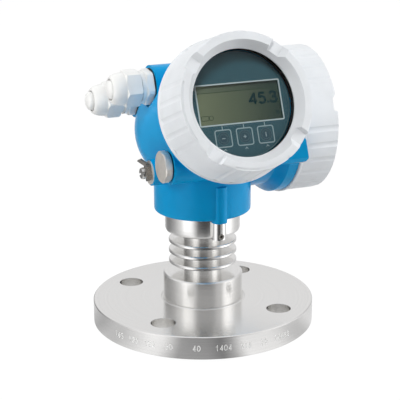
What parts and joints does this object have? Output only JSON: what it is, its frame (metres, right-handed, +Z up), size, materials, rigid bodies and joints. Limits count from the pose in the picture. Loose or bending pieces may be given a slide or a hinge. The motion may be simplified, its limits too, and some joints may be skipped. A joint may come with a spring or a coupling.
{
  "type": "radar level transmitter",
  "caption": "Radar level transmitter: flanged neck with cooling fins, swivelling two-compartment housing, tilted display cover, terminal cover and cable glands.",
  "frame": {"origin": "centre of the underside sealing face, on the neck axis", "axes": "+Z up the neck, away from the vessel; -Y the way the display faces at rest; +X towards the terminal cover"},
  "size_m": [0.1738, 0.1805, 0.2299],
  "materials": {
    "steel": "turned and brushed stainless steel",
    "dark_steel": "plain darker stainless steel",
    "blue_paint": "blue powder coat on a die casting",
    "pale_paint": "pale grey powder coat on a die casting",
    "white_plastic": "smooth moulded polyamide",
    "grey_plastic": "moulded",
    "slate_plastic": "smooth dark front foil",
    "lcd": "grey-green liquid crystal panel",
    "key_lens": "dark infrared window",
    "black_plastic": "moulded",
    "green_plastic": "moulded",
    "rubber": "matt",
    "grey_rubber": "matt",
    "ptfe": "waxy white fluoropolymer",
    "window": "clear flat glass"
  },
  "bodies": {
    "process_connection": {"process_flange": "steel", "antenna_lens": "ptfe", "lens_seal": "rubber", "neck": "steel", "waveguide": "steel", "coax_coupler": "dark_steel", "swivel_oring": "rubber", "swivel_clip": "dark_steel"},
    "housing": {"collar": "steel", "securing_screw": "dark_steel", "housing": "blue_paint", "rf_module": "dark_steel", "electronics_module": "grey_plastic", "display_module": "slate_plastic", "lcd_panel": "lcd", "key_windows": "key_lens", "feedthrough": "black_plastic", "terminal_block": "green_plastic", "terminal_screws": "steel", "inner_earth_clamp": "steel", "inner_earth_screw": "steel", "gland_gasket_front": "rubber", "gland_body_front": "white_plastic", "gland_seal_front": "grey_rubber", "gland_gasket_rear": "rubber", "gland_body_rear": "white_plastic", "gland_seal_rear": "grey_rubber", "blind_plug": "steel", "blind_plug_seal": "rubber", "earth_plate": "steel", "earth_clamp": "steel", "earth_washer": "dark_steel", "earth_screw": "steel", "lock_screw": "steel"},
    "display_seal": {"display_cover_oring": "rubber"},
    "display_cover": {"display_cover": "pale_paint", "window_glass": "window", "window_gasket": "rubber", "window_retainer": "dark_steel"},
    "terminal_seal": {"terminal_cover_oring": "rubber"},
    "terminal_cover": {"terminal_cover": "pale_paint"},
    "gland_plug_front": {"gland_plug_front": "white_plastic"},
    "gland_cap_front": {"gland_cap_front": "white_plastic"},
    "gland_plug_rear": {"gland_plug_rear": "white_plastic"},
    "gland_cap_rear": {"gland_cap_rear": "white_plastic"}
  },
  "joints": [
    {"name": "housing_swivel", "type": "hinge", "parent": "process_connection", "child": "housing", "pos_m": [0, 0, 0.0892], "axis": [0, 0, 1], "range_deg": [-175, 175]},
    {"name": "display_cover_lift", "type": "slide", "parent": "housing", "child": "display_seal", "axis": [0, -0.9255, 0.3786], "range_m": [0, 0.0121]},
    {"name": "display_cover_turn", "type": "hinge", "parent": "display_seal", "child": "display_cover", "pos_m": [0, 0, 0.1533], "axis": [0, -0.9255, 0.3786], "range_deg": [0, 2160]},
    {"name": "terminal_cover_lift", "type": "slide", "parent": "housing", "child": "terminal_seal", "axis": [1, 0, 0], "range_m": [0, 0.0121]},
    {"name": "terminal_cover_turn", "type": "hinge", "parent": "terminal_seal", "child": "terminal_cover", "pos_m": [0, 0.01379, 0.14766], "axis": [1, 0, 0], "range_deg": [0, 2160]},
    {"name": "gland_plug_front_lift", "type": "slide", "parent": "housing", "child": "gland_plug_front", "axis": [-1, 0, 0], "range_m": [0, 0.0091]},
    {"name": "gland_cap_front_turn", "type": "hinge", "parent": "gland_plug_front", "child": "gland_cap_front", "pos_m": [-0.0365, 0.00804, 0.18221], "axis": [-1, 0, 0], "range_deg": [0, 2160]},
    {"name": "gland_plug_rear_lift", "type": "slide", "parent": "housing", "child": "gland_plug_rear", "axis": [-1, 0, 0], "range_m": [0, 0.0091]},
    {"name": "gland_cap_rear_turn", "type": "hinge", "parent": "gland_plug_rear", "child": "gland_cap_rear", "pos_m": [-0.0365, 0.04507, 0.16706], "axis": [-1, 0, 0], "range_deg": [0, 2160]}
  ],
  "couplings": [
    {"joint": "display_cover_lift", "follows": "display_cover_turn", "m_per_rad": 0.00031831},
    {"joint": "terminal_cover_lift", "follows": "terminal_cover_turn", "m_per_rad": 0.00031831},
    {"joint": "gland_plug_front_lift", "follows": "gland_cap_front_turn", "m_per_rad": 0.00023873},
    {"joint": "gland_plug_rear_lift", "follows": "gland_cap_rear_turn", "m_per_rad": 0.00023873}
  ]
}
